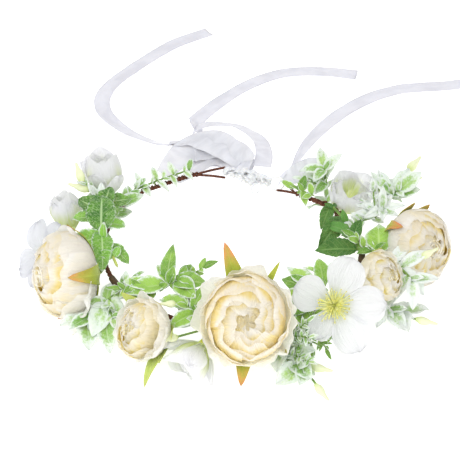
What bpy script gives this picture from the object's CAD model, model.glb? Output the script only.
"""The looks of the flower crown: silk roses, buds, blossoms, leaf sprigs, twisted paper wire and satin
ribbon. Places are in millimetres from the ring's centre on the floor, as in the design, and MM turns them
into metres."""
import math
import random

import bpy
from mathutils import Matrix, Vector

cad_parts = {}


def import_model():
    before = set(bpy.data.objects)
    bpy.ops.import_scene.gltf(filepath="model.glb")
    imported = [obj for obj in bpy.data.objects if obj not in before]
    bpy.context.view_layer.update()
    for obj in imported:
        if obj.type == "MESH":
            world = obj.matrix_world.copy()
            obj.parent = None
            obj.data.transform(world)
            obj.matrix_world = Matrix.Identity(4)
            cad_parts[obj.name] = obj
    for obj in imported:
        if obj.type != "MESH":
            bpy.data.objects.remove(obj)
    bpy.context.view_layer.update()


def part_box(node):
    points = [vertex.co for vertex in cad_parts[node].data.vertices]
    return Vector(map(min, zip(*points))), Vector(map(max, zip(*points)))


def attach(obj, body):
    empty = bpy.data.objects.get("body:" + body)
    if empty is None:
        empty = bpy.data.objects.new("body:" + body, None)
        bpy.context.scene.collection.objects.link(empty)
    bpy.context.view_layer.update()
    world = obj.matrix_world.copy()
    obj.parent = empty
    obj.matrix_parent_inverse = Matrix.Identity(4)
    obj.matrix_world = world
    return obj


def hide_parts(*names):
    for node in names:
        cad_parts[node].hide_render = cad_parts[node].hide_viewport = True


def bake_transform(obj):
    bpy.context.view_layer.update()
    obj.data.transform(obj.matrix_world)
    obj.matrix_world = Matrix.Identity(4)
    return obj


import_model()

MM = 0.001
FULL_TURN = 2 * math.pi
GOLDEN_SHARE = 0.618034  # of a turn from one stamen to the next, which spreads them evenly

# The design's own sizes and places, in millimetres and degrees
RING_RADIUS = 93.0
TWIST_PITCH = 12.0
WRAP_PITCH = 1.9
ROOT_REACH = 6.0
STRAND_RADIUS = 0.8
STRAND_SPREAD = 1.15
STEM_END = 1.1
STEM_SAG = 2.0
STEM_STEP = 2.5
SIDE_GAP = 3.3
RIBBON_WIDTH = 14.0
RIBBON_WIDTHS = (RIBBON_WIDTH, RIBBON_WIDTH)
RIBBON_THICKNESS = 0.22
RIBBON_LOWEST = 0.5
FLOOR_GAP = 0.3
LEAF_FACE = Vector((0.0, -0.45, 0.9))
LEAF_DROOP = 25.0
LEAF_FOLD = 0.22
CORE_ARC = [(138, 103.5), (150, 99), (165, 95), (180, 93), (340, 93), (360, 93), (375, 92), (390, 90),
            (402, 88.5)]
LEFT_ARM_BEND = [(-58, 86, 27), (-34, 101, 27)]
LEFT_FORK = (-26, 103.5, 27)
LEFT_TIPS = [(-5.5, 108.6, 30), (-5.5, 101.5, 25)]
RIGHT_ARM_BEND = [(55, 71, 27)]
RIGHT_FORK = (48, 76, 27)
RIGHT_TIPS = [(38.5, 89.0, 30), (33.5, 83.5, 25)]
TAIL_A = [(-50, 180, 8), (-63, 189, 4), (-88, 210, 2), (-107, 237, 1), (-114, 258, 1), (-114, 278, 1),
          (-105, 304, 1), (-79, 345, 1), (-54, 377, 1), (-22, 402, 1)]
TAIL_B = [(-30, 205, 6), (-31, 219, 4), (-29, 236, 1), (-4, 275, 1), (23, 304, 1), (49, 319, 1), (82, 321, 1),
          (113, 314, 1)]
TAIL_C = [(38, 107, 18), (49, 145, 7), (65, 195, 2), (90, 239, 1), (118, 269, 1), (145, 286, 1),
          (166, 291, 1), (185, 293, 1), (204, 297, 1), (224, 303, 1)]


# ---------------------------------------------------------------- the frame's own places

def find_ring():
    """The ring's centre and its wire's height, from the wire's box: its sides and its front are round."""
    low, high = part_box("core_wire")
    outer = (high[0] - low[0]) / 2
    return Vector(((low[0] + high[0]) / 2, low[1] + outer, 0.0)), (low[2] + high[2]) / 2


RING_CENTRE, WIRE_Z = find_ring()
CENTRE_SET_BACK = 4.0  # the design measures from a point this far in front of the ring's centre
ORIGIN = RING_CENTRE - Vector((0, CENTRE_SET_BACK * MM, 0))
WIRE_HEIGHT = WIRE_Z / MM


def world(p):
    """A place in millimetres in the crown's own measure, as a point in metres."""
    return ORIGIN + Vector(p) * MM


def heading(azimuth, elevation):
    """A unit vector: azimuth 0 is +X and 90 is +Y, elevation 90 is up."""
    a, e = math.radians(azimuth), math.radians(elevation)
    return Vector((math.cos(e) * math.cos(a), math.cos(e) * math.sin(a), math.sin(e)))


def on_ring(angle, radius=RING_RADIUS, z=None):
    turn = math.radians(angle)
    height = WIRE_HEIGHT if z is None else z
    return Vector((radius * math.cos(turn), CENTRE_SET_BACK + radius * math.sin(turn), height))


def smooth(points, step):
    """A Catmull-Rom curve through the points, read about every step millimetres."""
    knots = [Vector(p) for p in points]
    knots = [knots[0] * 2 - knots[1]] + knots + [knots[-1] * 2 - knots[-2]]
    path = []
    for a, b, c, d in zip(knots, knots[1:], knots[2:], knots[3:]):
        count = max(2, round((c - b).length / step))
        for i in range(count):
            t = i / count
            path.append(0.5 * (2 * b + (c - a) * t + (2 * a - 5 * b + 4 * c - d) * t * t
                               + (3 * b - 3 * c + d - a) * t ** 3))
    path.append(knots[-2])
    return path


def path_length(path):
    return sum((b - a).length for a, b in zip(path, path[1:]))


# ---------------------------------------------------------------- camera, floor and light

VIEW_ELEVATION = 34.2
VIEW_DISTANCE = 1050.0
LENS = 114.1
SENSOR = 36.0
AIM = (-2.1, 8.3, 39.1)
FLOOR_SIZE = 24.0
FLOOR_GREY = 0.96
FLOOR_GLOW = 0.5
SKY_STRENGTH = 0.64
LIGHTS = {  # place and aim in metres, size in metres, and power in watts
    "key": ((-0.6, -0.5, 1.2), (0, 0, 0), 0.9, 7.5),
    "fill": ((0.9, -0.3, 1.0), (0, 0, 0), 1.0, 2.2),
    "back": ((0.1, 1.2, 0.8), (0, 0.05, 0.02), 1.0, 3.0),
    "front": ((0.0, -1.05, 0.85), (0, 0, 0.03), 0.8, 5.0)}


def aimed(name, data, place, direction):
    """A camera or a light at a place, that looks along a direction."""
    obj = bpy.data.objects.new(name, data)
    bpy.context.scene.collection.objects.link(obj)
    obj.location = place
    obj.rotation_euler = direction.to_track_quat("-Z", "Y").to_euler()
    return obj


def make_camera():
    data = bpy.data.cameras.new("camera")
    data.lens = LENS
    data.sensor_width = SENSOR
    back = heading(-90, VIEW_ELEVATION)
    bpy.context.scene.camera = aimed("camera", data, world(Vector(AIM) + back * VIEW_DISTANCE), -back)


def make_stage():
    scene = bpy.context.scene
    scene.view_settings.view_transform = "Standard"
    scene.view_settings.look = "None"
    scene.world = bpy.data.worlds.new("studio")
    scene.world.use_nodes = True
    sky = scene.world.node_tree.nodes["Background"].inputs
    sky["Color"].default_value = (1.0, 1.0, 1.0, 1.0)
    sky["Strength"].default_value = SKY_STRENGTH
    bpy.ops.mesh.primitive_plane_add(size=FLOOR_SIZE)
    floor = bpy.context.object
    floor.name = "floor"
    paper = bpy.data.materials.new("floor_paper")
    paper.use_nodes = True
    inputs = paper.node_tree.nodes["Principled BSDF"].inputs
    inputs["Base Color"].default_value = (FLOOR_GREY, FLOOR_GREY, FLOOR_GREY, 1.0)
    inputs["Roughness"].default_value = 0.9
    inputs["Emission Color"].default_value = (1.0, 1.0, 1.0, 1.0)
    inputs["Emission Strength"].default_value = FLOOR_GLOW
    floor.data.materials.append(paper)
    for name, (place, aim, size, power) in LIGHTS.items():
        data = bpy.data.lights.new(name, "AREA")
        data.size = size
        data.energy = power
        aimed(name, data, place, Vector(aim) - Vector(place))


# ---------------------------------------------------------------- materials

def rgb(red, green, blue):
    """A colour given from 0 to 255, as the shaders' linear values."""
    return tuple((c / 255 / 12.92) if c <= 10 else ((c / 255 + 0.055) / 1.055) ** 2.4
                 for c in (red, green, blue))


class Nodes:
    """A short way to write a node tree: each method adds a node and returns its output socket."""

    def __init__(self, name):
        self.material = bpy.data.materials.new(name)
        self.material.use_nodes = True
        self.tree = self.material.node_tree
        self.shader = self.tree.nodes["Principled BSDF"]

    def put(self, socket, value):
        if isinstance(value, bpy.types.NodeSocket):
            self.tree.links.new(value, socket)
        else:
            socket.default_value = value

    def add(self, kind, inputs, output=0, **settings):
        """Adds a node with its settings, fills its inputs by name or number, and returns one output."""
        node = self.tree.nodes.new("ShaderNode" + kind)
        for key, value in settings.items():
            setattr(node, key, value)
        for key, value in inputs.items():
            self.put(node.inputs[key], value)
        return node.outputs[output]

    def attribute(self, name):
        return self.add("Attribute", {}, "Fac", attribute_name=name)

    def math(self, operation, *values):
        return self.add("Math", dict(enumerate(values)), operation=operation)

    def step(self, *values):
        """Goes smoothly from one value to another while its input goes from low to high: input, low, high,
        and the two values if they aren't 0 and 1."""
        return self.add("MapRange", dict(enumerate(values)), interpolation_type="SMOOTHSTEP")

    def mix(self, factor, *colours):
        a, b = [(*c, 1.0) if isinstance(c, tuple) else c for c in colours]
        return self.add("Mix", {0: factor, 6: a, 7: b}, 2, data_type="RGBA", clamp_factor=True)

    def where(self):
        return self.add("TexCoord", {}, "Object")

    def along_across(self, along_scale, across_scale):
        """The surface's own two directions as a vector, for grain that follows the shape."""
        scales = {"along": along_scale, "across": across_scale, "tone": 37.0}
        parts = [self.math("MULTIPLY", self.attribute(key), scale) for key, scale in scales.items()]
        return self.add("CombineXYZ", dict(enumerate(parts)))

    def noise(self, vector, scale, detail=3.0, roughness=0.5):
        inputs = {"Vector": vector, "Scale": scale, "Detail": detail, "Roughness": roughness}
        return self.add("TexNoise", inputs)

    def bump(self, height, distance, strength, below=None):
        inputs = {"Height": height, "Distance": distance, "Strength": strength}
        return self.add("Bump", {**inputs, "Normal": below} if below else inputs)

    def glow_through(self, share, colour, normal):
        """Lets a share of the light through thin cloth, in a colour."""
        through = self.add("BsdfTranslucent", {"Color": colour, "Normal": normal})
        both = self.add("MixShader", {0: share, 1: self.shader.outputs[0], 2: through})
        self.put(self.tree.nodes["Material Output"].inputs["Surface"], both)

    def finish(self, colour, roughness, normal, sheen=0.0, scatter=0.0, specular=0.35):
        inputs = self.shader.inputs
        self.put(inputs["Base Color"], colour)
        self.put(inputs["Roughness"], roughness)
        self.put(inputs["Normal"], normal)
        inputs["Specular IOR Level"].default_value = specular
        inputs["Sheen Weight"].default_value = sheen
        inputs["Sheen Roughness"].default_value = 0.5
        if scatter:
            inputs["Subsurface Weight"].default_value = scatter
            inputs["Subsurface Radius"].default_value = (0.004, 0.003, 0.0022)
            inputs["Subsurface Scale"].default_value = 1.0
        return self.material


def silk_petal(name, rim, body, dye, through, patch=None):
    """Coated silk cloth: pale at a petal's rim, deeper where the dye is, with pressed creases that run up
    the petal and a fine weave."""
    n = Nodes(name)
    rim, body, dye = rgb(*rim), rgb(*body), rgb(*dye)
    grain = n.noise(n.along_across(1.2, 9.0), 1.0, 4.0, 0.6)
    blotch = n.noise(n.where(), 70.0, 3.0)
    wander = n.math("MULTIPLY_ADD", n.math("SUBTRACT", grain, 0.5), 0.4, n.attribute("along"))
    base = n.mix(n.step(wander, 0.35, 0.95), body, rim)
    strength = n.math("MULTIPLY", n.attribute("dye"), n.step(grain, 0.25, 0.7, 0.55, 1.15))
    colour = n.mix(strength, base, dye)
    colour = n.mix(n.step(n.attribute("along"), 0.93, 1.0, 0.0, 0.7), colour, rim)
    if patch is not None:
        stain = n.math("MULTIPLY", blotch, n.attribute("tone"))
        colour = n.mix(n.step(stain, 0.2, 0.55, 0.0, 0.6), colour, rgb(*patch))
    creases = n.bump(n.noise(n.along_across(1.6, 16.0), 1.0, 3.0, 0.6), 0.0016, 0.75)
    normal = n.bump(n.noise(n.where(), 2600.0, 1.0), 0.00012, 0.5, creases)
    n.glow_through(through, colour, normal)
    return n.finish(colour, n.step(grain, 0.2, 0.8, 0.62, 0.82), normal, sheen=0.2)


def leaf_skin(name, dark, light, vein, frost=0.0, frost_colour=(235, 243, 236), tip=None, gloss=0.5,
              vein_strength=0.6, veins_per_leaf=7.0, side_veins=0.7, net_width=0.03):
    """A moulded and printed leaf: midrib and side veins, two greens between them, and for frosted leaves a
    white coat that is thickest at the edges and the tip."""
    n = Nodes(name)
    along = n.attribute("along")
    side = n.math("ABSOLUTE", n.attribute("across"))
    midrib = n.step(side, 0.03, 0.13, 1.0, 0.0)
    lines = n.math("FRACT", n.math("MULTIPLY_ADD", side, -1.7, n.math("MULTIPLY", along, veins_per_leaf)))
    rib = n.math("ABSOLUTE", n.math("SUBTRACT", lines, 0.5))
    veins = n.math("MAXIMUM", midrib, n.step(rib, 0.4, 0.5, 0.0, side_veins))
    net = n.math("ABSOLUTE", n.math("SUBTRACT", n.noise(n.where(), 480.0, 1.0), 0.5))
    veins = n.math("MAXIMUM", veins, n.step(net, 0.0, net_width, 0.8, 0.0))
    patch = n.noise(n.where(), 160.0, 3.0)
    shade = n.math("MULTIPLY_ADD", n.attribute("tone"), 0.5, n.math("MULTIPLY", patch, 0.6))
    base = n.mix(n.step(shade, 0.2, 0.8), rgb(*dark), rgb(*light))
    if tip is not None:
        dyed = n.math("MULTIPLY", n.attribute("dye"), n.step(patch, 0.3, 0.6, 0.6, 1.1))
        base = n.mix(dyed, base, rgb(*tip))
    colour = n.mix(n.math("MULTIPLY", veins, vein_strength), base, rgb(*vein))
    if frost:
        speck = n.noise(n.where(), 420.0, 4.0, 0.7)
        edge = n.math("MAXIMUM", n.math("POWER", side, 2.0), n.math("POWER", along, 3.0))
        coat = n.math("MULTIPLY_ADD", speck, 0.9, n.math("MULTIPLY", edge, 0.75))
        coat = n.math("MULTIPLY_ADD", n.attribute("tone"), 0.35, coat)
        colour = n.mix(n.step(coat, 1.15 - frost, 1.5 - frost, 0.0, 0.9), colour, rgb(*frost_colour))
    relief = n.bump(veins, 0.0005, 0.6)
    normal = n.bump(n.noise(n.where(), 900.0, 2.0), 0.0002, 0.4, relief)
    return n.finish(colour, gloss, normal, sheen=0.08, scatter=0.1, specular=0.4)


def plain_skin(name, dark, light, scale=300.0, gloss=0.55, tip=None, distance=0.0002, specular=0.35,
               scatter=0.0):
    """A small part with two shades of one colour, a rough grain, and for buds a second colour where dyed."""
    n = Nodes(name)
    patch = n.noise(n.where(), scale, 4.0, 0.6)
    colour = n.mix(n.step(patch, 0.3, 0.7), rgb(*dark), rgb(*light))
    if tip is not None:
        colour = n.mix(n.attribute("dye"), colour, rgb(*tip))
    normal = n.bump(n.noise(n.where(), scale * 5, 3.0), distance, 0.6)
    return n.finish(colour, gloss, normal, specular=specular, scatter=scatter)


def ribbon_skin(name, dark, light, gloss, through):
    """Satin ribbon: fine ribs across it, a soft gloss, and some light that passes through."""
    n = Nodes(name)
    drift = n.noise(n.along_across(14.0, 0.7), 1.0, 2.0)
    colour = n.mix(n.step(drift, 0.3, 0.7), rgb(*dark), rgb(*light))
    thread = n.noise(n.where(), 3800.0, 1.0)
    folds = n.bump(n.noise(n.along_across(30.0, 2.0), 1.0, 3.0), 0.0005, 0.5)
    normal = n.bump(thread, 0.00005, 0.5, folds)
    n.shader.inputs["Anisotropic"].default_value = 0.3
    return n.finish(colour, gloss, normal, sheen=0.15, scatter=through, specular=0.45)


CREAM_SILK = silk_petal("petal_cream", (255, 254, 252), (255, 253, 250), (255, 240, 168), 0.6,
                        (254, 251, 242))
BUTTER_SILK = silk_petal("petal_butter", (255, 254, 252), (255, 254, 249), (255, 240, 140), 0.6,
                         (254, 249, 228))
WHITE_SILK = silk_petal("petal_white", (240, 240, 243), (238, 239, 241), (216, 228, 138), 0.45)
PEARL_SILK = silk_petal("petal_pearl", (228, 229, 236), (224, 225, 231), (212, 222, 140), 0.4)
TULIP_SILK = silk_petal("petal_tulip", (252, 252, 255), (251, 251, 254), (224, 236, 140), 0.5)
SEPAL_GREEN = leaf_skin("sepal_green", (140, 152, 40), (172, 190, 62), (190, 200, 90), tip=(224, 120, 84),
                        vein_strength=0.3)
FRESH_LEAF = leaf_skin("leaf_green", (90, 142, 40), (160, 204, 84), (198, 222, 156), frost=0.12,
                       vein_strength=0.45)
MINT_LEAF = leaf_skin("leaf_mint", (44, 104, 22), (142, 202, 72), (208, 236, 176), vein_strength=0.62,
                      veins_per_leaf=8.0, frost=0.04, side_veins=0.4, net_width=0.045)
DARK_LEAF = leaf_skin("leaf_dark", (44, 98, 30), (92, 152, 60), (150, 190, 112), vein_strength=0.4)
FROSTED_LEAF = leaf_skin("leaf_frosted", (112, 166, 66), (176, 212, 118), (214, 234, 196), frost=0.46,
                         vein_strength=0.4)
PALE_LEAF = leaf_skin("leaf_pale", (136, 182, 96), (192, 220, 154), (228, 240, 218), frost=0.6,
                      frost_colour=(240, 244, 243), vein_strength=0.4)
LIME_SEPAL = leaf_skin("sepal_lime", (150, 176, 60), (186, 208, 96), (214, 224, 140), tip=(226, 214, 120),
                       vein_strength=0.3)
BUD_GREEN = plain_skin("bud_green", (196, 212, 120), (222, 232, 160), tip=(236, 240, 196), scatter=0.15)
STEM_GREEN = plain_skin("stem_green", (96, 128, 58), (134, 164, 84))
STEM_YELLOW = plain_skin("stem_yellow", (166, 178, 78), (196, 206, 116))
BLOSSOM_HEART = plain_skin("blossom_heart", (196, 206, 96), (226, 230, 150))
STAMEN = plain_skin("stamen_yellow", (214, 216, 112), (238, 238, 172))
ANTHER = plain_skin("anther_yellow", (206, 200, 84), (234, 226, 130))
WIRE_PAPER = plain_skin("wire_paper", (70, 36, 26), (116, 72, 54), scale=500.0, gloss=0.8, distance=0.0003,
                        specular=0.2)
TAPE_PAPER = plain_skin("floral_tape", (62, 44, 32), (92, 72, 48), scale=400.0, gloss=0.75, distance=0.0003)
SATIN = ribbon_skin("ribbon_satin", (206, 206, 215), (219, 219, 227), 0.42, 0.1)
SHEER = ribbon_skin("ribbon_sheer", (208, 208, 215), (223, 223, 229), 0.5, 0.15)
GATHERED = ribbon_skin("ribbon_gathered", (218, 219, 222), (241, 241, 243), 0.45, 0.2)


# ---------------------------------------------------------------- surfaces

def lengthwise(rows):
    """Places from a root, 0, to a tip, 1."""
    return [i / rows for i in range(rows + 1)]


def sideways(columns):
    """Places from one edge, -1, over the middle, 0, to the other edge, 1."""
    return [j / columns for j in range(-columns, columns + 1)]


class Skin:
    """Surfaces gathered into one mesh. Each vertex keeps its place along and across its own petal or leaf, a
    tone that tells one petal or leaf from the next, and dye, the strength of the second colour there."""

    def __init__(self):
        self.points = []
        self.faces = []
        self.slots = []
        self.values = {"along": [], "across": [], "tone": [], "dye": []}

    def grid(self, rows, tone=0.5, slot=0, closed=False, dye=None):
        """Rows of points from root to tip. dye gives a value for a row's and a column's place."""
        base = len(self.points)
        width = len(rows[0])
        for i, row in enumerate(rows):
            u = i / (len(rows) - 1)
            for j, p in enumerate(row):
                v = 2 * j / (width - (0 if closed else 1)) - 1
                self.points.append(p)
                for key, value in zip(self.values, (u, v, tone, dye(u, v) if dye else 0.0)):
                    self.values[key].append(value)
        for i in range(len(rows) - 1):
            for j in range(width if closed else width - 1):
                a = base + i * width + j
                b = base + i * width + (j + 1) % width
                self.faces.append((a, b, b + width, a + width))
                self.slots.append(slot)

    def sheet(self, place, rows, columns, point, tone, dye):
        """A petal. point gives a vertex for its place from root to tip, 0 to 1, and edge to edge, -1 to 1."""
        self.grid([[place @ point(t, s) for s in sideways(columns)] for t in lengthwise(rows)], tone, dye=dye)

    def build(self, name, materials, body="wreath", thickness=0.0, replaces=True):
        """Makes the mesh object, lets it ride on its body, and hides the design's node of the same name."""
        mesh = bpy.data.meshes.new(name + "_detail")
        lowest = FLOOR_GAP + thickness / 2
        mesh.from_pydata([world((x, y, max(z, lowest))) for x, y, z in self.points], [], self.faces)
        for key, numbers in self.values.items():
            mesh.attributes.new(key, "FLOAT", "POINT").data.foreach_set("value", numbers)
        for material in materials:
            mesh.materials.append(material)
        mesh.polygons.foreach_set("material_index", self.slots)
        mesh.shade_smooth()
        obj = bpy.data.objects.new(name + "_detail", mesh)
        bpy.context.scene.collection.objects.link(obj)
        if thickness:
            shell = obj.modifiers.new("thickness", "SOLIDIFY")
            shell.thickness = thickness * MM
            shell.offset = 0.0
        if body:
            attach(obj, body)
        if replaces:
            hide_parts(name)
        return obj


def steady_frames(path):
    """A side and a normal at each point of a path, carried along it without spinning."""
    ahead = [(b - a).normalized() for a, b in zip(path, path[1:])]
    ahead.append(ahead[-1])
    normal = Vector((0, 0, 1))
    frames = []
    for direction in ahead:
        normal = normal - direction * normal.dot(direction)
        if normal.length < 0.05:
            normal = direction.orthogonal()
        normal.normalize()
        frames.append((direction.cross(normal), normal))
    return frames


def sweep(skin, path, section, tone=0.5, slot=0):
    """Carries a closed cross-section along a path. section gives its points, as side and normal offsets, for
    a place from 0 to 1 along the path."""
    last = len(path) - 1
    rows = []
    for i, (p, (side, normal)) in enumerate(zip(path, steady_frames(path))):
        rows.append([p + side * x + normal * y for x, y in section(i / last)])
    skin.grid(rows, tone, slot, closed=True)


def ring_points(radii):
    """Points at equal angles about a section's middle, one for each radius."""
    turns = [FULL_TURN * k / len(radii) for k in range(len(radii))]
    return [(r * math.cos(a), r * math.sin(a)) for r, a in zip(radii, turns)]


def round_section(radius, sides=8, ridges=0, depth=0.0):
    """A round cross-section, or with ridges a fluted one. radius gives a number for the place along."""
    return lambda t: ring_points([radius(t) * (1 + depth * math.cos(ridges * (FULL_TURN * k / sides)))
                                  for k in range(sides)])


def closing(t, round_ends):
    """Goes to almost nothing at both ends of a tube, to close it."""
    ends = min(t, 1 - t) / round_ends
    return math.sqrt(max(0.0, 1 - (1 - min(ends, 1.0)) ** 2)) * 0.98 + 0.02


def tube(skin, path, radius, slot):
    sweep(skin, path, round_section(lambda t: radius * closing(t, 0.03)), slot=slot)


def placement(centre, axis):
    """Turns a flower's own space, with +Z along its axis, into the crown's."""
    return Matrix.Translation(Vector(centre)) @ Vector(axis).to_track_quat("Z", "Y").to_matrix().to_4x4()


def turned(skin, place, profile, sides=20, slot=0, flutes=0, depth=0.0, dye=None):
    """A body of revolution about the placement's axis, from radius and height pairs."""
    rows = []
    for radius, height in profile:
        section = round_section(lambda t: radius, sides, flutes, depth)(0)
        rows.append([place @ Vector((x, y, height)) for x, y in section])
    skin.grid(rows, 0.5, slot, closed=True, dye=dye)


# ---------------------------------------------------------------- petals and leaves

def bell(t, peak):
    """Rises from 0 to 1 at peak and falls back to 0 at 1."""
    return math.sin(math.pi * t ** (math.log(0.5) / math.log(peak)))


def ease(t, low, high):
    t = min(max((t - low) / (high - low), 0.0), 1.0)
    return t * t * (3 - 2 * t)


def phases(rng, count):
    return [rng.uniform(0, FULL_TURN) for _ in range(count)]


def blade(skin, root, direction, face, length, width, rng, droop=LEAF_DROOP, fold=LEAF_FOLD, teeth=0,
          twist=0.0, rows=16, columns=8, relief=0.0, blunt=0.85, dye=None):
    """A leaf. It droops along its length by an angle, folds up along its midrib, and ripples at its edges.
    teeth counts the points along each side, and relief raises its veins."""
    ahead = Vector(direction).normalized()
    side = ahead.cross(Vector(face)).normalized()
    up = side.cross(ahead)
    phase = rng.uniform(0, FULL_TURN)
    ripples = rng.uniform(1.6, 2.6)
    tone = rng.random()
    p = Vector(root)
    lines = []
    step = length / rows
    for t in lengthwise(rows):
        pitch = math.radians(droop * (t - 0.35) * 1.4)
        forward = ahead * math.cos(pitch) - up * math.sin(pitch)
        top = up * math.cos(pitch) + ahead * math.sin(pitch)
        roll = math.radians(twist) * t
        across = side * math.cos(roll) + top * math.sin(roll)
        lift = top * math.cos(roll) - side * math.sin(roll)
        half = width / 2 * max(bell(t, 0.42), 0.0) ** blunt + 0.35 * (1 - t)
        line = []
        for s in sideways(columns):
            reach = half
            if teeth and abs(s) > 0.8:
                saw = (t * teeth) % 1.0
                reach *= 1 + 0.14 * (saw - 0.5) * (abs(s) - 0.8) * 5
            ripple = 0.05 * width * math.sin(ripples * FULL_TURN * t + phase + (2.1 if s > 0 else 0)) * s * s
            height = abs(s) * half * fold * 2 - 0.35 * fold * half * s * s + ripple
            if relief:
                vein = abs(((t * 7 - abs(s) * 1.7) % 1.0) - 0.5) * 2
                height -= relief * vein ** 3 * min(1.0, abs(s) * 4)
                height -= relief * 1.5 * max(0.0, 1 - abs(s) * 7)
            line.append(p + across * (s * reach) + lift * height)
        lines.append(line)
        p = p + forward * step
    skin.grid(lines, tone, dye=dye)


def wide_petal(skin, place, angle, length, width, rng, lean=8.0, cup=0.16, root=3.0, reach=2.6, rows=18,
               columns=9, ruffle=0.9, curl=18.0, tone=None, dye=None):
    """A blossom's rounded petal, narrow at its root, which leaves the middle at an angle about the axis and
    leans up from the flat by another."""
    phase = phases(rng, 4)
    tone = rng.random() if tone is None else tone
    turn = Matrix.Rotation(math.radians(angle), 4, "Z")
    p = Vector((reach, 0, 0))
    lines = []
    step = length / rows
    for t in lengthwise(rows):
        pitch = math.radians(lean + curl * (0.4 - t) * 1.6)
        forward = Vector((math.cos(pitch), 0, math.sin(pitch)))
        top = Vector((-math.sin(pitch), 0, math.cos(pitch)))
        grown = root + (width - root) * ease(t, 0.0, 0.62)
        outline = math.sqrt(max(0.0, 1 - (max(t - 0.56, 0.0) / 0.44) ** 2.4))
        half = grown / 2 * outline + 0.05
        line = []
        for s in sideways(columns):
            edge = max(abs(s), ease(t, 0.55, 1.0)) ** 3
            wobble = math.sin(2.3 * s * math.pi + phase[0] + 5 * t)
            wobble += 0.6 * math.sin(5.1 * s + 7 * t + phase[1])
            height = cup * half * (s * s - 0.35) * 1.6 + ruffle * wobble * edge
            pleat = 0.14 * math.sin(9 * s + phase[2]) * ease(t, 0.0, 0.3) * (1 - edge)
            rim = 1 + 0.035 * math.sin(6 * s + phase[3]) * t
            line.append(place @ turn @ (p + Vector((0, 1, 0)) * (s * half * rim) + top * (height + pleat)))
        lines.append(line)
        p = p + forward * step
    skin.grid(lines, tone, dye=dye)


PETAL_BASE = 165.0  # where a rose's petals leave the back of the head, as an angle from its front


def wrapped_petal(skin, place, angle, half_angle, radius, rim, front, back, rng, lift, ruffle, spiral, dye,
                  shift=(0, 0), rows=16, columns=12, round_top=0.16):
    """A rose's petal: it leaves the back of the head, follows a rounded head of a radius, a front and a
    back, and ends at a rim, given as an angle from the head's front. Its rim lifts and ruffles, and its one
    side lies outside its neighbour, by spiral."""
    tone = rng.random()
    phase = phases(rng, 5)

    def point(t, s):
        u = t * (1 - round_top * abs(s) ** 2.5 - 0.03 * math.sin(3 * s * math.pi + phase[0]))
        a = math.radians(PETAL_BASE + (rim - PETAL_BASE) * u)
        phi = math.radians(angle + half_angle * s * (0.5 + 0.5 * ease(u, 0.0, 0.55)))
        free = ease(u, 0.62, 1.0) ** 1.5
        wobble = (math.sin(4.1 * s + phase[1]) + 0.7 * math.sin(8.3 * s + phase[2])
                  + 0.6 * math.sin(16 * s + phase[3]))
        out = lift * free + ruffle * wobble * free * 0.6 + radius * spiral * s * (0.4 + 0.6 * u)
        out += 0.2 * math.sin(17 * s + phase[4] + 2 * u) * ease(u, 0.1, 0.5)
        r = radius * math.sin(a) + (out * math.sin(a) + 0.25 * lift * free)
        h = (front if math.cos(a) > 0 else back) * math.cos(a) + out * math.cos(a) * 0.8
        moved = ease(u, 0.4, 0.9)
        return Vector((r * math.cos(phi) + shift[0] * moved, r * math.sin(phi) + shift[1] * moved, h))

    def dyed(t, s):
        from_rim = (1 - t) * math.radians(PETAL_BASE - rim) * radius
        return dye * (0.1 * ease(from_rim, 0.6, 3.0) + 0.9 * ease(from_rim, 3.2, 7.5))
    skin.sheet(place, rows, columns, point, tone, dyed)


def hugging_sepal(skin, place, angle, radius, back, length, width, leave_at, rng, tip_dye, rows=14, columns=4,
                  gap=1.2):
    """A sepal that lies on the back of a head up to leave_at degrees from the stem, then stands off."""
    turn = Matrix.Rotation(math.radians(angle), 4, "Z")
    tone = rng.random()
    phase = rng.uniform(0, FULL_TURN)
    depth = back + gap
    wide = radius + gap
    step = length / rows
    a = math.asin(min(1.0, 3.5 / wide))
    p = Vector((wide * math.sin(a), 0, -depth * math.cos(a)))
    direction = Vector((math.cos(a), 0, math.sin(a)))
    lines = []
    freed = 0
    for t in lengthwise(rows):
        if math.degrees(a) < leave_at:
            direction = Vector((wide * math.cos(a), 0, depth * math.sin(a))).normalized()
        else:
            freed += 1
            bend = math.radians(20.0) * freed / rows
            direction = (Matrix.Rotation(bend * 0.35, 3, "Y") @ direction).normalized()
        outward = Vector((direction.z, 0, -direction.x))
        half = width / 2 * (0.35 + 0.65 * ease(t, 0, 0.3)) * math.sqrt(max(0.0, 1 - t ** 3.2))
        half *= 1 - 0.55 * t * t
        line = []
        for s in sideways(columns):
            q = p + Vector((0, 1, 0)) * (s * half) - outward * (abs(s) * half * 0.35 - 0.25 * half * s * s)
            q = q + outward * (0.35 * math.sin(5 * t + phase) * s)
            line.append(place @ turn @ q)
        lines.append(line)
        p = p + direction * step
        a += step / math.hypot(wide * math.cos(a), depth * math.sin(a))
    skin.grid(lines, tone, dye=lambda u, v: tip_dye * ease(u + 0.1 * abs(v), 0.62, 1.05))


# ---------------------------------------------------------------- flowers

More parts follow.
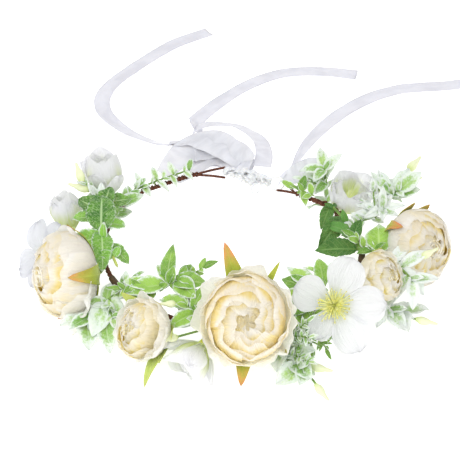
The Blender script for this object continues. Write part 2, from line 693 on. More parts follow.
# Each ring of petals: rim angle, petals, scale, lift, ruffle, spiral, dye
OPEN_ROSE = [(82, 5, 1.00, 4.6, 3.4, 0.04, 0.05), (69, 4, 0.97, 2.4, 1.3, 0.07, 0.35),
             (57, 4, 0.93, 1.5, 1.2, 0.09, 0.7), (46, 3, 0.89, 1.3, 1.1, 0.12, 0.9),
             (37, 3, 0.85, 1.2, 1.0, 0.14, 1.0), (29, 3, 0.80, 1.1, 0.9, 0.16, 1.0),
             (21, 2, 0.75, 1.0, 0.8, 0.20, 1.0), (13, 2, 0.69, 0.9, 0.6, 0.24, 1.0),
             (6, 2, 0.62, 0.7, 0.4, 0.28, 1.0)]
CUPPED_ROSE = [(62, 4, 1.00, 0.6, 1.2, 0.05, 0.0), (52, 4, 0.97, 0.6, 1.1, 0.06, 0.1),
               (43, 4, 0.94, 0.6, 1.0, 0.07, 0.4), (35, 3, 0.91, 0.6, 0.9, 0.08, 0.8),
               (27, 3, 0.87, 0.6, 0.9, 0.10, 1.0), (19, 3, 0.82, 0.6, 0.8, 0.12, 1.0),
               (11, 2, 0.75, 0.6, 0.5, 0.16, 1.0), (5, 2, 0.66, 0.5, 0.4, 0.20, 1.0)]
CUPPED_BUD = [(64, 4, 1.00, 1.2, 1.6, 0.05, 0.0), (50, 3, 0.96, 0.8, 1.3, 0.07, 0.4),
              (38, 3, 0.92, 0.7, 1.2, 0.09, 0.9), (27, 3, 0.86, 0.6, 1.1, 0.12, 1.0),
              (17, 3, 0.79, 0.6, 0.9, 0.15, 1.0), (7, 2, 0.69, 0.5, 0.6, 0.20, 1.0)]


def wire_radius_at(angle):
    angle = angle if angle >= CORE_ARC[0][0] else angle + 360
    for (a, r), (b, q) in zip(CORE_ARC, CORE_ARC[1:]):
        if a <= angle <= b:
            return r + (q - r) * (angle - a) / (b - a)
    return RING_RADIUS


def beside_wire(angle, side):
    """Where a stem is bound to the ring: side 0 is outside it, 90 above it and 180 inside it."""
    turn = math.radians(side)
    radius = wire_radius_at(angle) + SIDE_GAP * math.cos(turn)
    return on_ring(angle, radius, WIRE_HEIGHT + SIDE_GAP * math.sin(turn))


def sagging(root, end):
    middle = (Vector(root) + Vector(end)) / 2 - Vector((0, 0, STEM_SAG))
    return smooth([root, middle, end], STEM_STEP)


def swirl(skin, place, heart, outer, low, high, turns, rng, rows=6, steps=110):
    """A rose's innermost petal, rolled up: a band that winds out from the middle and sinks."""
    phase = phases(rng, 3)
    lines = []
    for t in lengthwise(rows):
        line = []
        for k in range(steps + 1):
            u = k / steps
            a = FULL_TURN * turns * u
            wave = math.sin(3.1 * a + phase[0]) + 0.6 * math.sin(7.3 * a + phase[1])
            r = 0.5 + (outer - 0.5) * u ** 0.85 + 0.3 * wave * u + 0.5 * t * u
            level = 0.9 + 0.1 * math.sin(a + phase[2])
            h = low + (high - 0.16 * outer * u * u + 0.35 * wave - low) * t * level
            line.append(place @ Vector((heart[0] + r * math.cos(a), heart[1] + r * math.sin(a), h)))
        lines.append(line)
    skin.grid(lines, rng.random(), dye=lambda u, v: 0.6 - 0.6 * ease(u, 0.55, 1.0))


def rose(name, centre, axis, radius, front, back, sepals, stem_to, rings, seed, heart=(0, 0), flare=(),
         skirt=(), sepal_skin=SEPAL_GREEN, silk=CREAM_SILK, oval=1.0):
    """A silk rose: rings of petals wrapped over a rounded head, a moulded calyx with its sepals, and a stem.
    flare lists outer petals that stand off the head: angle, length, width and lean. skirt lists wide ones
    wrapped round it: angle, half angle, rim, lift and ruffle. oval squeezes the inner rings from side to
    side. sepals lists each sepal's angle, length, where it leaves the head, width, and how red its tip is."""
    rng = random.Random(seed)
    place = placement(centre, axis)
    petals = Skin()
    upright = place.to_3x3().inverted() @ Vector((0, 0, 1))
    rise = Matrix.Rotation(math.atan2(upright.y, upright.x), 4, "Z")
    oval_place = place @ rise @ Matrix.Diagonal((1.06, oval, 1.0, 1.0)) @ rise.inverted()
    turn = rng.uniform(0, 360)
    last = len(rings) - 1
    for number, (rim, count, scale, lift, ruffle, spiral, dye) in enumerate(rings):
        turn += 360 / count * 0.5 + rng.uniform(-12, 12)
        pull = (number / last) ** 1.5
        for k in range(count):
            angle = turn + 360 / count * k + rng.uniform(-8, 8)
            half = min(180 / count * rng.uniform(1.3, 1.5), 125)
            wrapped_petal(petals, oval_place if number else place, angle, half, radius * scale,
                          rim + rng.uniform(-0.06, 0.06) * rim, front * (0.55 + 0.45 * scale), back * scale,
                          rng, lift * rng.uniform(0.7, 1.3), ruffle, spiral, dye,
                          (heart[0] * pull, heart[1] * pull), round_top=0.16 if number < 2 else 0.1)
    swirl(petals, oval_place, heart, radius * 0.27, front * 0.78, front * 0.98, 2.6, rng)
    dome = [(0.004, 0.92), (0.05, 0.915), (0.1, 0.9), (0.17, 0.86), (0.25, 0.79), (0.33, 0.65), (0.36, 0.45)]
    turned(petals, oval_place @ Matrix.Translation((heart[0], heart[1], 0)),
           [(radius * r, front * h) for r, h in dome], 24, dye=lambda u, v: 0.55)
    for angle, half, rim, lift, ruffle in skirt:
        wrapped_petal(petals, place, angle, half, radius * 1.02, rim, front, back, rng, lift, ruffle, 0.02,
                      0.0, rows=22, columns=14)
    for angle, length, width, lean in flare:
        wide_petal(petals, place @ Matrix.Translation((0, 0, -back * 0.5)), angle, length, width, rng,
                   lean=lean, cup=0.3, root=9, reach=radius * 0.35, ruffle=1.6, curl=20, tone=0.2)
    petals.build(name + "_petals", [silk])

    calyx = Skin()
    top = -back - 0.4
    turned(calyx, place, [(0.3, top), (5.4, top + 0.6), (6.6, top + 0.2), (6.2, top - 1.4), (4.4, top - 3.0),
                          (2.0, top - 4.6), (1.2, top - 5.6)], flutes=5, depth=0.05)
    for angle, length, leave_at, width, red in sepals:
        hugging_sepal(calyx, place, angle, radius, back, length, width, leave_at, rng, red)
    tube(calyx, sagging(place @ Vector((0, 0, top - 4)), stem_to), STEM_END, slot=1)
    calyx.build(name + "_calyx", [sepal_skin, STEM_GREEN], thickness=0.35)


def make_roses():
    rose("rose_front", (8.7, -102, 44), (-0.06, -0.81, 0.57), 31.5 * 0.9, 20, 14,
         [(108, 55, 62, 15, 1.0), (62, 44, 60, 7, 0.1), (-92, 46, 64, 15, 0.7), (-38, 38, 70, 11, 0.2),
          (-150, 36, 70, 12, 0.2)],
         beside_wire(279, 100), OPEN_ROSE, 11, heart=(1.5, -1.5))
    rose("rose_left", (-116, -32, 28.5), (-0.88, -0.42, 0.2), 30, 24, 19,
         [(30, 52, 110, 17, 0.6), (105, 42, 75, 13, 0.5), (-35, 40, 70, 15, 0.4), (-75, 46, 80, 13, 1.0)],
         beside_wire(196, 10), CUPPED_ROSE, 12,
         skirt=[(-10, 34, 86, 6, 4), (-48, 36, 80, 8, 5), (-85, 34, 84, 6, 4), (120, 40, 84, 3, 2)])
    rose("rose_right", (133, 6, 25.3), (0.6, -0.71, 0.35), 27.5, 20, 17,
         [(126, 46, 96, 14, 1.0), (80, 38, 70, 14, 0.5), (50, 36, 70, 14, 0.5), (205, 38, 70, 14, 0.4)],
         beside_wire(0, 60), CUPPED_ROSE, 18, flare=[(-95, 25, 28, 58), (-130, 24, 26, 66)])
    rose("rosebud_left", (-60, -93, 28), (-0.62, -0.62, 0.48), 21 * 0.95, 18, 15,
         [(-52, 44, 62, 14, 0.2), (-28, 32, 64, 12, 0.3), (150, 34, 66, 14, 0.5), (15, 32, 66, 12, 0.5)],
         beside_wire(237, -70), CUPPED_BUD, 14, sepal_skin=LIME_SEPAL,
         skirt=[(-30, 60, 68, 3, 2), (80, 50, 72, 3, 2)], silk=BUTTER_SILK, oval=0.74)
    rose("rosebud_right", (101, -46, 37), (0.58, -0.62, 0.5), 17, 16, 13,
         [(60, 24, 80, 10, 0.3), (150, 22, 76, 10, 0.3), (-120, 22, 80, 10, 0.3)], beside_wire(337, 30),
         CUPPED_BUD, 15, sepal_skin=LIME_SEPAL, silk=BUTTER_SILK, oval=0.8)


def open_blossom(name, centre, axis, petals, lean, stem_to, seed, stamen_length, stamens, silk=WHITE_SILK):
    """A white blossom: one layer of petals, a tuft of stamens, and a stem."""
    rng = random.Random(seed)
    place = placement(centre, axis)
    skin = Skin()
    for number, (angle, length, width) in enumerate(petals):
        above = Matrix.Translation((0, 0, 0.25 * number))
        wide_petal(skin, place @ above, angle, length, width, rng, lean=lean, root=width * 0.28, reach=1.6,
                   dye=lambda u, v: (1 - ease(u, 0.02, 0.38)) * (1 - 0.5 * abs(v)))
    skin.build(name + "_petals", [silk])

    heart = Skin()
    turned(heart, place, [(0.1, 2.6), (1.6, 2.4), (2.6, 1.4), (2.9, 0), (2.6, -2), (2.9, -3.4), (2.0, -5.6),
                          (1.1, -7)], 16)
    for k in range(stamens):
        out = rng.uniform(0.25, 1.0)
        angle = FULL_TURN * (k * GOLDEN_SHARE) + rng.uniform(-0.1, 0.1)
        length = stamen_length * rng.uniform(0.75, 1.1)
        reach = length * out
        rise = 1.6 + (length - reach * 0.75) * 0.9
        direction = Vector((math.cos(angle), math.sin(angle), 0))
        start = direction * 1.2 + Vector((0, 0, 1.6))
        bend = direction * reach * 0.5 + Vector((0, 0, 1.6 + rise * 0.62))
        end = direction * reach + Vector((0, 0, rise))
        path = [place @ q for q in smooth([start, bend, end], 1.4)]
        sweep(heart, path, round_section(lambda t: 0.36 - 0.1 * t, 5), rng.random(), 1)
        tip = path[-1]
        ahead = (path[-1] - path[-2]).normalized()
        grain = [tip - ahead * 0.3, tip + ahead * 0.2, tip + ahead * 0.7, tip + ahead * 1.1]
        sweep(heart, grain, round_section(lambda t: 0.46 * closing(t, 0.5), 6), rng.random(), 2)
    tube(heart, sagging(place @ Vector((0, 0, -5)), stem_to), STEM_END, slot=3)
    heart.build(name + "_stamens_and_stem", [BLOSSOM_HEART, STAMEN, ANTHER, STEM_GREEN])


def half_closed_blossom(name, base, axis, radius, height, stem_to, loose, seed, open_by, silk=TULIP_SILK):
    """A half-closed white blossom: six petals around a hollow, in two layers, on a calyx with its stem. loose
    lists petals that stand off: angle, length, width and lean."""
    rng = random.Random(seed)
    place = placement(base, axis)
    skin = Skin()
    for layer in range(2):
        for k in range(3):
            cup_petal(skin, place, 120 * k + 60 * layer + rng.uniform(-8, 8), radius * (1 - 0.14 * layer),
                      height * (1.0 - 0.04 * layer) * rng.uniform(0.92, 1.04), rng, open_by * (1 - layer))
    for angle, length, width, lean in loose:
        wide_petal(skin, place, angle, length, width, rng, lean=lean, cup=0.28, reach=2.0, curl=-24,
                   dye=lambda u, v: (1 - ease(u, 0.05, 0.45)) * (1 - abs(v)))
    skin.build(name + "_petals", [silk])

    calyx = Skin()
    turned(calyx, place, [(0.2, 0.8), (3.2, 1.4), (3.9, 0.4), (3.4, -1.6), (2.2, -4.0), (1.3, -6.4)], 18,
           flutes=6, depth=0.06)
    for k in range(4):
        direction = place.to_3x3() @ Vector((math.cos(k * 1.6), math.sin(k * 1.6), 1.1))
        face = place.to_3x3() @ Vector((-math.cos(k * 1.6), -math.sin(k * 1.6), 0.4))
        root = place @ Vector((2.4 * math.cos(k * 1.6), 2.4 * math.sin(k * 1.6), -0.6))
        blade(calyx, root, direction, face, 8.5, 4.2, rng, rows=8, columns=3, droop=-30)
    tube(calyx, sagging(place @ Vector((0, 0, -5)), stem_to), STEM_END, slot=1)
    calyx.build(name + "_calyx", [BUD_GREEN, STEM_GREEN], thickness=0.3)


def cup_petal(skin, place, angle, radius, height, rng, open_by):
    """A petal of a half-closed blossom: it bellies out, and its tip leans in or, if open, out."""
    phase = phases(rng, 3)
    tone = rng.random()

    def point(t, s):
        u = t * (1 - 0.2 * abs(s) ** 2.2 * ease(t, 0.3, 1))
        r = radius * (0.12 + 0.88 * math.sin(math.pi * 0.5 * min(u / 0.62, 1.0)) ** 0.8)
        r *= 1 - (0.34 - open_by) * ease(u, 0.55, 1.0)
        edge = ease(u, 0.6, 1.0) * (0.3 + abs(s))
        r += edge * (0.7 * math.sin(3.1 * s + phase[0]) + 0.4 * math.sin(7 * s + phase[1])) + 0.7 * s
        r += 0.16 * math.sin(11 * s + phase[2]) * ease(u, 0.1, 0.4)
        wide = math.radians(16 + 58 * ease(u, 0.0, 0.45) - 30 * ease(u, 0.7, 1.0))
        phi = math.radians(angle) + wide * s
        return Vector((r * math.cos(phi), r * math.sin(phi), height * u))

    def dyed(t, s):
        midline = 0.75 * (1 - ease(abs(s), 0.05, 0.3)) * (1 - ease(t, 0.35, 0.9))
        return max((1 - ease(t, 0.15, 0.7)) * 0.95, midline)
    skin.sheet(place, 18, 9, point, tone, dyed)


def make_blossoms():
    open_blossom("front_blossom", (66.5, -86, 43), (0.05, -0.82, 0.57),
                 [(66, 33, 26), (-2, 34, 26), (-62, 35, 26), (-122, 25, 18), (153, 28, 25)], 8,
                 beside_wire(309, 75), 21, 12, 90)
    open_blossom("left_blossom", (-134, 1, 21), (-0.75, -0.3, 0.6),
                 [(-120, 27, 24), (-50, 25, 21), (20, 25, 21), (92, 26, 22), (160, 29, 25)], 14,
                 beside_wire(180, 0), 22, 5.5, 22, silk=PEARL_SILK)
    half_closed_blossom("front_tulip", (-20, -97, 18), (-0.5, -0.62, -0.42), 14, 27, beside_wire(258, -60),
                        [(148, 29, 19, 40), (-32, 28, 18, 46), (58, 28, 18, 50), (-120, 28, 18, 52)], 23, 0.5)
    half_closed_blossom("left_back_tulip", (-97, 84, 20), (-0.08, 0.1, 1), 14, 36, beside_wire(153, 0),
                        [(-92, 34, 17, 50), (88, 32, 17, 48), (-40, 34, 17, 62), (30, 30, 17, 58)], 24, 0.12)
    half_closed_blossom("left_side_tulip", (-123, 51, 9), (-0.15, 0.25, 0.95), 12.5, 31, beside_wire(160, 0),
                        [(-76, 28, 17, 66), (104, 28, 16, 70), (20, 28, 16, 70)], 25, -0.1)
    half_closed_blossom("right_back_tulip", (87, 70, 17), (0.1, -0.35, 0.93), 16, 34, beside_wire(36, -60),
                        [(170, 32, 18, 64), (-12, 32, 18, 66), (-100, 30, 18, 70)], 26, 0.3)


# ---------------------------------------------------------------- leaves and buds

def bud(skin, place, length, radius, slot):
    """A long ribbed bud: fullest near its stalk, and drawn out to a blunt tip."""
    profile = [(0.5, -0.3), (0.55, -0.22), (0.9, -0.08), (1.0, 0.08), (0.86, 0.3), (0.5, 0.55), (0.36, 0.8),
               (0.26, 0.95), (0.05, 1.0)]
    turned(skin, place, [(radius * r, length * h) for r, h in profile], 15, slot, 3, 0.12,
           dye=lambda u, v: ease(u, 0.0, 0.4))


def leaf_pairs(path, count, length, width, rng):
    """Opposite pairs of small leaves along a stem, each turned from the one before, smaller to the tip."""
    found = []
    frames = steady_frames(path)
    last = len(path) - 1
    for k in range(count):
        along = (k + 0.6) / count
        i = round(along * last)
        side, normal = frames[i]
        ahead = (path[min(i + 1, last)] - path[max(i - 1, 0)]).normalized()
        turn = math.radians(20 + 75 * k + rng.uniform(-20, 20))
        out = side * math.cos(turn) + normal * math.sin(turn)
        for sign in (-1, 1):
            direction = (out * sign + ahead * rng.uniform(0.5, 1.1) + Vector((0, 0, 0.25))).normalized()
            size = length * rng.uniform(0.75, 1.15) * (1.1 - 0.35 * along)
            found.append((path[i], direction, size, width * size / length))
    return found


def leaf_tip(u, v):
    return ease(u + 0.25 * abs(v), 0.7, 1.15)


def scatter_vector(rng, reach):
    return Vector([rng.uniform(-reach, reach) for _ in range(3)])


def sprig(name, stem, leaves, pairs, materials, seed, body="wreath", radius=0.9, buds=(), slot="leaf_green",
          teeth=0, relief=0.25, blunt=0.85, bud_length=15.0, shoots=()):
    """A stem with its leaves and buds. leaves lists each leaf's place along the stem from 0 to 1, its
    azimuth and elevation, its length and its width; buds lists each bud's place, azimuth, elevation, stalk
    and radius; pairs gives the count, length and width of the small leaves between them. shoots lists side
    stems: each one's place, azimuth, elevation and length, its count of leaf pairs, and their length and
    width."""
    rng = random.Random(seed)
    path = smooth(stem, STEM_STEP)
    skin = Skin()
    tube(skin, path, radius, slot=1)
    last = len(path) - 1
    small = leaf_pairs(path, *pairs, rng)
    for along, azimuth, elevation, length, count, leaf_length, leaf_width in shoots:
        start = path[round(along * last)]
        ahead = heading(azimuth, elevation)
        bend = Vector([rng.uniform(-0.12, 0.12) * length for _ in range(3)])
        side_stem = smooth([start, start + ahead * length * 0.5 + bend, start + ahead * length], 1.5)
        tube(skin, side_stem, 0.5, slot=1)
        small += leaf_pairs(side_stem, count, leaf_length, leaf_width, rng)
        small.append((side_stem[-1], ahead, leaf_length, leaf_width))
    for start, direction, length, width in small:
        face = LEAF_FACE + scatter_vector(rng, 0.4)
        blade(skin, start, direction, face, length, width, rng, rows=10, columns=4, blunt=blunt,
              droop=LEAF_DROOP * rng.uniform(0.2, 1.6), twist=rng.uniform(-25, 25),
              dye=leaf_tip)
    for along, azimuth, elevation, length, width in leaves:
        start = path[round(along * last)]
        direction = heading(azimuth, elevation)
        face = LEAF_FACE + scatter_vector(rng, 0.25)
        blade(skin, start - direction * 0.3, direction, face, length * 1.04, width * 1.06, rng, teeth=teeth,
              fold=LEAF_FOLD * rng.uniform(0.6, 1.4), relief=relief, blunt=blunt,
              droop=LEAF_DROOP * rng.uniform(0.4, 1.5), twist=rng.uniform(-18, 18), rows=24 if teeth else 16,
              dye=leaf_tip)
        stalk = [start - direction * 0.5, start + direction * length * 0.18, start + direction * length * 0.3]
        sweep(skin, stalk, round_section(lambda t: 0.55 * (1 - t * 0.8), 6), slot=1)
    for along, azimuth, elevation, length, bud_radius in buds:
        start = path[round(along * last)]
        direction = heading(azimuth, elevation)
        bend = scatter_vector(rng, 0.6)
        end = start + direction * length
        stalk = smooth([start, (start + end) / 2 + bend, end], STEM_STEP)
        sweep(skin, stalk, round_section(lambda t: 0.65, 7), slot=1)
        bud(skin, placement(end, direction), bud_length, bud_radius, 2)
    skin.build(name, materials, body, 0.3)


def greens(leaf, stem=STEM_GREEN, slot="leaf_green", **more):
    """The looks of one kind of sprig."""
    return dict(materials=[leaf, stem, BUD_GREEN], slot=slot, **more)


def make_greenery():
    fresh = greens(FRESH_LEAF)
    mint = greens(MINT_LEAF, STEM_YELLOW, teeth=13, relief=0.4, blunt=0.7)
    dark = greens(DARK_LEAF, teeth=9)
    frosted = greens(FROSTED_LEAF, slot="leaf_frosted", blunt=0.8)
    pale = greens(PALE_LEAF, slot="leaf_frosted", blunt=0.75)
    budding = greens(PALE_LEAF, slot="bud_green")
    budding_yellow = greens(PALE_LEAF, STEM_YELLOW, slot="bud_green")
    seeds = iter(range(31, 49))

    def add(name, kind, *shape, **more):
        sprig(name, *shape, seed=next(seeds), **kind, **more)

    add("left_mint_sprig", mint,
        [(-81, -28, 32), (-89, -8, 37), (-96, 10, 40), (-96, 26, 42), (-92, 42, 41)],
        [(0.5, 92, 22, 33, 20), (0.78, 146, 14, 21, 15), (1.0, 24, -5, 18, 11), (0.66, 52, 0, 24, 15),
         (0.6, 35, -20, 24, 11), (0.5, -84, -8, 38, 14), (0.85, 80, 20, 20, 13), (0.3, -30, -25, 20, 10),
         (0.42, 182, -18, 28, 14), (0.7, 190, 5, 20, 12)], (4, 12, 7))
    add("left_back_leaves", frosted, [on_ring(146, 106, 24), on_ring(148, 112, 16), on_ring(146, 118, 6)],
        [(0.9, 60, -18, 22, 13), (0.6, 20, 0, 20, 12), (0.95, 100, 0, 20, 12), (0.0, 10, 20, 22, 10)],
        (5, 14, 7), shoots=[(0.0, 45, 20, 22, 4, 11, 5), (0.0, 160, 25, 24, 4, 12, 5)])
    add("left_back_bud_stems", budding, [on_ring(153, 101, 30), (-104, 60, 38), (-113, 66, 44)],
        [(0.5, 150, 40, 12, 5), (0.3, 100, 50, 14, 6)], (3, 10, 4),
        buds=[(1.0, 114, 35, 3, 3.2), (0.6, 165, 12, 8, 3.0)], bud_length=13)
    add("left_low_sprig", frosted, [(-84, -51, 24), (-93, -59, 16), (-103, -60, 9)],
        [(0.2, -110, -20, 28, 15), (0.95, -83, -15, 25, 15), (0.1, -60, -20, 22, 12),
         (0.7, -140, 0, 20, 10), (0.3, 80, 25, 18, 9), (0.0, 20, 10, 18, 9), (0.9, 200, 5, 20, 12),
         (0.4, -78, -28, 34, 14)], (4, 14, 7),
        shoots=[(0.0, 40, 15, 20, 4, 11, 5.5), (0.2, -75, 0, 20, 3, 12, 6)])
    add("left_inner_sprig", fresh, [on_ring(231, 87, 36), on_ring(236, 78, 42), on_ring(242, 71, 45)],
        [(0.5, 75, 50, 28, 10), (0.2, 170, 10, 26, 10), (0.4, 190, -5, 28, 14), (0.7, -15, 10, 24, 13),
         (0.9, 60, 15, 15, 8), (0.8, -50, -8, 20, 14), (0.1, -160, -10, 22, 12), (0.6, 120, 20, 18, 9)],
        (3, 13, 7), shoots=[(0.9, 10, 25, 18, 3, 11, 5), (0.0, 170, 0, 22, 4, 11, 5)])
    add("centre_bud_sprig", fresh, [(-16, -87, 24), (-24, -82, 31), (-33, -78, 37)],
        [(0.0, 149, 25, 29, 13), (0.1, 124, 30, 33, 14), (0.5, 95, 35, 20, 8), (0.9, 160, 5, 20, 11),
         (0.7, 60, 35, 20, 8), (0.3, 180, -5, 24, 12), (0.6, -150, -10, 20, 11)], (3, 12, 6),
        buds=[(1.0, 190, 10, 8, 2.4), (0.0, -147, 8, 28, 2.6)], bud_length=9)
    add("front_low_sprig", frosted, [on_ring(286, 101, 13), on_ring(290, 112, 10), on_ring(293, 124, 5)],
        [(0.5, -60, 0, 22, 13), (0.8, -140, -5, 22, 14), (0.3, -15, 20, 22, 13), (0.95, -100, 10, 18, 11),
         (0.2, -100, 0, 20, 12), (0.4, 200, 5, 20, 11), (0.1, 40, 35, 20, 10)], (6, 14, 8),
        buds=[(1.0, -60, -8, 16, 2.6), (0.6, -20, 0, 14, 2.8)], bud_length=12,
        shoots=[(0.0, -8, 48, 32, 11, 9, 2.8), (0.0, -32, 36, 32, 11, 9, 2.8),
                (0.2, 12, 40, 30, 10, 9, 2.8), (0.4, -52, 22, 24, 8, 9, 2.8)])
    add("front_inner_sprig", fresh, [(50, -76, 32), (60, -64, 38), (66, -50, 41)],
        [(0.4, 124, 8, 35, 14), (0.95, 153, 13, 19, 6), (0.5, 150, 5, 30, 13), (0.2, 170, 8, 24, 11),
         (0.9, 60, 10, 20, 9), (0.7, 100, 25, 22, 10), (0.1, 200, 0, 20, 11), (0.0, -110, -20, 24, 11)],
        (3, 13, 6),
        shoots=[(0.0, -62, -32, 30, 9, 9, 2.4), (0.0, -84, -32, 28, 9, 9, 2.4),
                (0.0, -105, -28, 28, 9, 9, 2.4), (0.0, -45, -28, 26, 8, 9, 2.4)])
    add("right_inner_leaves", dark, [(88, -6, 32), (84, 20, 33), (79, 38, 33), (72, 53, 33)],
        [(0.02, -174, 4, 29, 14), (0.66, -121, -9, 36, 13), (0.97, -112, -22, 22, 9), (0.3, 150, 5, 20, 9),
         (0.2, 60, 40, 16, 8)], (3, 11, 5))
    add("right_broad_leaf", fresh, [on_ring(352, 98, 32), (104, -11, 33)],
        [(1.0, 88, 22, 24, 19)], (2, 14, 7), shoots=[(0.5, 150, 20, 18, 3, 12, 6)])
    add("right_frosted_cluster", pale, [on_ring(377, 98, 31), (104, 33, 34), (110, 35, 39)],
        [(0.95, 0, 15, 17, 6), (0.95, 60, 20, 17, 6), (0.95, 110, 30, 17, 6), (0.95, 165, 5, 17, 6),
         (0.95, 215, 0, 17, 6), (0.95, 265, 5, 16, 6), (0.95, 310, 10, 16, 6), (0.95, 90, 70, 18, 6)],
        (4, 12, 5),
        shoots=[(0.3, 210, 0, 14, 3, 10, 5), (0.4, 110, 10, 14, 3, 10, 5), (0.6, 95, 60, 20, 4, 9, 4)])
    add("right_back_cluster", frosted,
        [on_ring(404, 100, 18), on_ring(408, 108, 24), on_ring(412, 114, 40)],
        [(0.95, 20, 40, 18, 8), (0.95, 100, 30, 20, 8), (0.95, 190, 5, 20, 8), (0.6, 240, 0, 18, 8),
         (0.6, 150, 10, 20, 8), (0.0, 130, -30, 24, 14), (0.95, -120, 0, 18, 8)], (6, 13, 5.5),
        shoots=[(0.5, 170, 15, 18, 4, 10, 5)])
    add("right_back_leaves", frosted, [(110, 62, 29), (119, 60, 36), (124, 56, 42)],
        [(0.3, 100, 40, 20, 10), (0.9, 60, 30, 22, 12), (0.6, -10, 20, 22, 12), (0.95, 30, 30, 22, 12),
         (0.2, 115, 34, 24, 8), (0.7, 140, 20, 20, 10)], (5, 14, 7))
    add("right_bud_stems", budding_yellow, [(109, 60, 34), (115, 68, 40), (127, 71, 44), (134, 78, 48)],
        [(0.3, 110, 40, 14, 6), (0.2, 20, 30, 14, 6)], (2, 10, 4),
        buds=[(1.0, 50, 15, 2, 3.4), (0.66, 0, 5, 5, 3.2)], bud_length=13)
    add("right_lily_leaves", pale, [(107, -13, 30), (118, -32, 33), (125, -45, 31)],
        [(0.5, 35, 12, 26, 9), (0.6, -45, -25, 24, 10), (0.9, -90, -25, 22, 9), (0.8, -120, -20, 20, 9),
         (0.95, 10, 0, 20, 9), (0.3, 50, 20, 20, 8)], (3, 13, 6), buds=[(0.5, 32, 8, 22, 2.6)],
        bud_length=12)
    add("right_low_sprig", pale, [(94, -45, 17), (107, -49, 12), (120, -50, 6)],
        [(0.3, -100, -10, 20, 10), (0.6, -60, -12, 20, 11), (0.9, 20, 0, 22, 12), (0.95, -80, 0, 18, 9),
         (0.1, -60, 20, 20, 10)], (6, 14, 7), buds=[(1.0, -20, -2, 12, 2.8)], bud_length=12)
    add("left_arm_sprig", frosted, [(-74, 76.5, 30), (-58, 87.5, 31), (-42, 98, 31), (-34, 103, 31)],
        [(0.1, 120, 45, 13, 5), (0.15, -62, -12, 12, 5), (0.4, 115, 35, 13, 5), (0.4, -40, -20, 13, 5),
         (0.7, 120, 40, 12, 5), (0.66, -65, -15, 12, 4), (0.98, 80, 30, 11, 5), (0.9, -50, -10, 11, 4)],
        (5, 8.5, 3.8), body="left_arm", radius=0.6)
    add("right_arm_sprig", fresh, [(62, 66, 31), (55, 70.5, 31.5), (47, 76, 32)],
        [(0.5, 81, 22, 13, 6), (0.5, -80, -25, 13, 6), (0.98, 160, 20, 12, 5), (0.2, 100, 35, 11, 5),
         (0.7, 60, 45, 12, 6)], (3, 8, 4), body="right_arm", radius=0.7)


# ---------------------------------------------------------------- wire

def strand_lines(path, strands, spread, pitch, phase=0.0):
    """The middle lines of strands that twist about one path."""
    travelled = 0.0
    lines = [[] for _ in range(strands)]
    for i, (p, (side, normal)) in enumerate(zip(path, steady_frames(path))):
        if i:
            travelled += (p - path[i - 1]).length
        for k in range(strands):
            a = phase + FULL_TURN * (travelled / pitch + k / strands)
            lines[k].append(p + (side * math.cos(a) + normal * math.sin(a)) * spread)
    return lines


def wrapped_wire(skin, path, radius, tone=0.5):
    """Wire in a paper wrap, which shows as a fine thread round it."""
    length = path_length(path)

    def section(t):
        r = radius * closing(t, 1.0 / length)
        turns = [FULL_TURN * k / 9 + FULL_TURN * (length / WRAP_PITCH) * t for k in range(9)]
        return ring_points([r * (1 + 0.12 * math.sin(a)) for a in turns])
    sweep(skin, path, section, tone)


def ring_path(start, end, step=1.0):
    count = max(2, round((end - start) * math.pi / 180 * RING_RADIUS / step))
    return [on_ring(start + (end - start) * i / count, wire_radius_at(start + (end - start) * i / count))
            for i in range(count + 1)]


def make_ring():
    first, last = CORE_ARC[0][0], CORE_ARC[-1][0]
    skin = Skin()
    for k, line in enumerate(strand_lines(ring_path(first, last), 3, 0.85, 14)):
        wrapped_wire(skin, line, 0.95, k * 0.37)
    skin.build("core_wire", [WIRE_PAPER])
    for name, start, end in (("left_tape", 204, 226), ("front_tape", 284, 303), ("right_tape", 343, 355)):
        tape = Skin()
        path = ring_path(start, end, 0.7)
        length = path_length(path)

        def section(t):
            return ring_points([2.3 + 0.28 * ((t * length / 7.5) % 1.0)] * 14)
        sweep(tape, path, section)
        tape.build(name, [TAPE_PAPER])
    coil = Skin()
    path = []
    middle = ring_path(380, 400, 0.4)
    for i, (p, (side, normal)) in enumerate(zip(middle, steady_frames(middle))):
        a = FULL_TURN * i * 0.4 / 6.0
        path.append(p + (side * math.cos(a) + normal * math.sin(a)) * 2.6)
    wrapped_wire(coil, path, 0.6)
    coil.build("right_binding_coil", [WIRE_PAPER])


def make_arm(side, hinge_point, bend, fork, tips, phase):
    """The two strands of an arm: twisted as far as the fork, then apart to their tips. A short bent piece
    joins them to the ring's wire across the hinge."""
    body = side + "_arm"
    path = smooth([hinge_point, *bend, fork], 0.6)
    lines = strand_lines(path, 2, STRAND_SPREAD, TWIST_PITCH / 2, math.radians(phase))
    lines.sort(key=lambda line: -line[-1].z)
    for number, (line, tip) in enumerate(zip(lines, tips)):
        end = line[-1]
        line += smooth([end, (end + Vector(tip)) / 2 + Vector((0, 0, 0.4)), tip], 0.6)[1:]
        strand = Skin()
        wrapped_wire(strand, line, STRAND_RADIUS + 0.15, 0.3 * number)
        strand.build(body + "_strand_" + "ab"[number], [WIRE_PAPER], body)
    joint = Skin()
    toward = (path[8] - path[0]).normalized()
    start = Vector(hinge_point) - toward * ROOT_REACH
    end = Vector(hinge_point) + toward * ROOT_REACH
    for k, line in enumerate(strand_lines(smooth([start, hinge_point, end], 0.5), 3, 0.9, 8)):
        wrapped_wire(joint, line, 0.9, k * 0.37)
    piece = joint.build(body + "_root_binding", [WIRE_PAPER], None, replaces=False)
    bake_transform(piece)


# ---------------------------------------------------------------- ribbon

